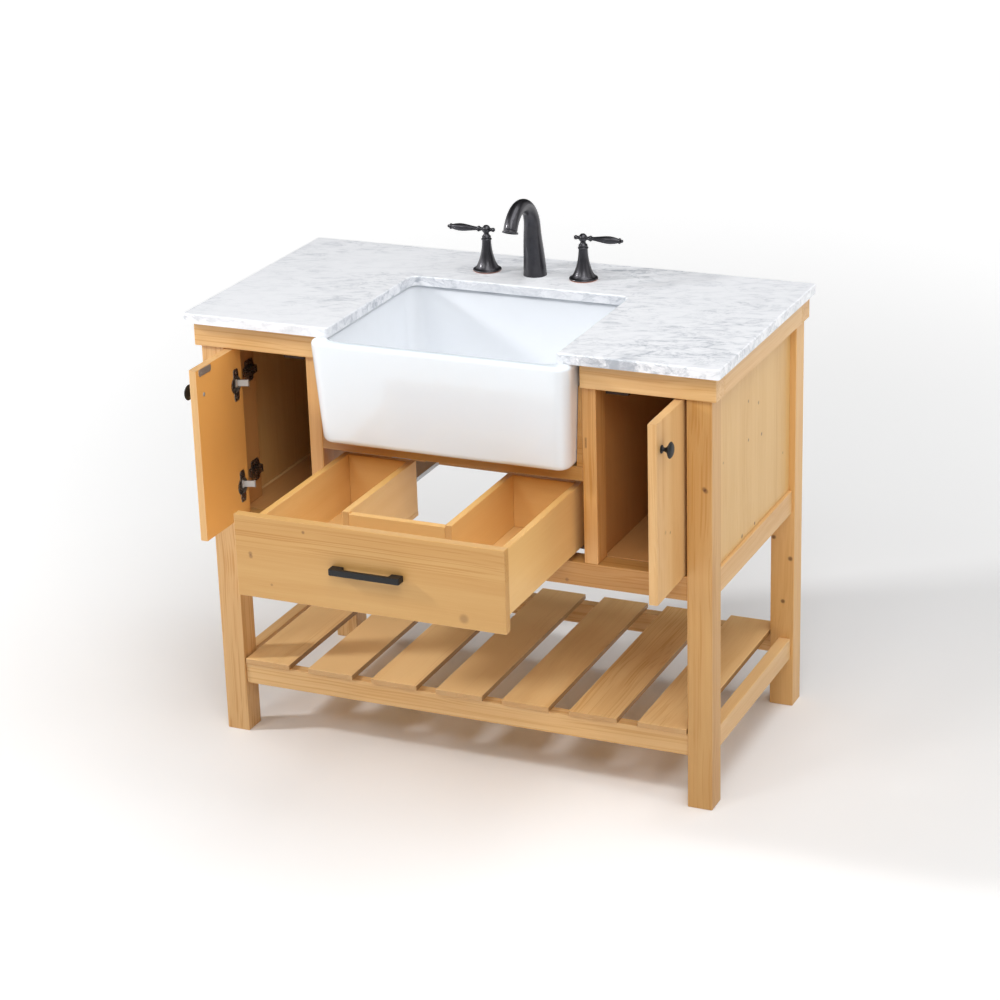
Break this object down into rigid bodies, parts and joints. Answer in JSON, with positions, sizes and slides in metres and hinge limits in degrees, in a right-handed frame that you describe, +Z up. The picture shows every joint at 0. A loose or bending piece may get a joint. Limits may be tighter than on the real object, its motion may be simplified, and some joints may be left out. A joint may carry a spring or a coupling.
{
  "type": "vanity unit",
  "caption": "Bathroom vanity on legs with a marble top, apron-front sink and widespread tap, two hinged doors, a sliding U-shaped drawer and a slatted shelf.",
  "frame": {"origin": "on the floor, under the middle of the marble top in plan", "axes": "+X to the right along the front, +Y to the wall behind, +Z up"},
  "size_m": [1.067, 0.903, 1.0352],
  "materials": {
    "marble": "polished white with grey veins",
    "fireclay": "white gloss glaze",
    "pine": "satin clear lacquer",
    "pine_slats": "satin clear lacquer",
    "drawer_wood": "satin clear lacquer",
    "bronze": "satin dark bronze",
    "black_iron": "satin black",
    "gunmetal": "dark plated steel",
    "bright_steel": "nickel plated",
    "zinc_steel": "zinc plated",
    "brass": "plain machined"
  },
  "bodies": {
    "stand": {"marble_top": "marble", "apron_sink": "fireclay", "leg_front_left": "pine", "leg_front_right": "pine", "leg_back_left": "pine", "leg_back_right": "pine", "frieze_front_left": "pine", "frieze_front_right": "pine", "frieze_left": "pine", "frieze_right": "pine", "frieze_back": "pine", "cabinet_rail_front": "pine", "cabinet_rail_back": "pine", "cabinet_side_rails": "pine", "stile_left": "pine", "stile_right": "pine", "sink_rail": "pine", "sink_beam": "pine", "side_panel_left": "pine", "side_panel_right": "pine", "partition_left": "pine", "partition_right": "pine", "floor_panels": "pine", "back_panels": "pine", "hinge_battens": "pine", "shelf_rail_front": "pine", "shelf_rail_back": "pine", "shelf_side_rails": "pine", "shelf_slats": "pine_slats", "spout": "bronze", "hot_valve": "bronze", "cold_valve": "bronze", "drain_flange": "bronze", "hinge_plates": "gunmetal", "magnet_catches": "gunmetal", "hinge_arms": "bright_steel", "slide_bases": "zinc_steel", "drain_tailpiece": "brass", "lock_nuts": "brass"},
    "left_door": {"left_door": "pine", "left_hinge_cups": "gunmetal", "left_knob": "black_iron", "left_strike": "bright_steel"},
    "right_door": {"right_door": "pine", "right_hinge_cups": "gunmetal", "right_knob": "black_iron", "right_strike": "bright_steel"},
    "drawer": {"drawer_front": "pine", "drawer_sides": "drawer_wood", "drawer_dividers": "drawer_wood", "drawer_cross": "drawer_wood", "drawer_backs": "drawer_wood", "drawer_bottom": "drawer_wood", "drawer_pull": "black_iron", "slide_runners": "zinc_steel"},
    "slide_middle": {"slide_middles": "zinc_steel"},
    "hot_handle": {"hot_handle": "bronze"},
    "cold_handle": {"cold_handle": "bronze"},
    "drain_stopper": {"drain_stopper": "bronze"}
  },
  "joints": [
    {"name": "left_door_hinge", "type": "hinge", "parent": "stand", "child": "left_door", "pos_m": [-0.4485, -0.2415, 0.6335], "axis": [0, 0, -1], "range_deg": [-90, 10]},
    {"name": "right_door_hinge", "type": "hinge", "parent": "stand", "child": "right_door", "pos_m": [0.4485, -0.2415, 0.6335], "axis": [0, 0, 1], "range_deg": [-91, 9]},
    {"name": "drawer_slide", "type": "slide", "parent": "stand", "child": "drawer", "axis": [0, 1, 0], "range_m": [0, 0.352]},
    {"name": "slide_middle_travel", "type": "slide", "parent": "stand", "child": "slide_middle", "axis": [0, 1, 0], "range_m": [0, 0.176]},
    {"name": "hot_handle_turn", "type": "hinge", "parent": "stand", "child": "hot_handle", "pos_m": [-0.1016, 0.1645, 0.925], "axis": [0, 0, 1], "range_deg": [0, 90]},
    {"name": "cold_handle_turn", "type": "hinge", "parent": "stand", "child": "cold_handle", "pos_m": [0.1016, 0.1645, 0.925], "axis": [0, 0, -1], "range_deg": [0, 90]},
    {"name": "stopper_lift", "type": "slide", "parent": "stand", "child": "drain_stopper", "axis": [0, 0, 1], "range_m": [0, 0.01]}
  ],
  "couplings": [
    {"joint": "slide_middle_travel", "follows": "drawer_slide", "ratio": 0.5}
  ]
}
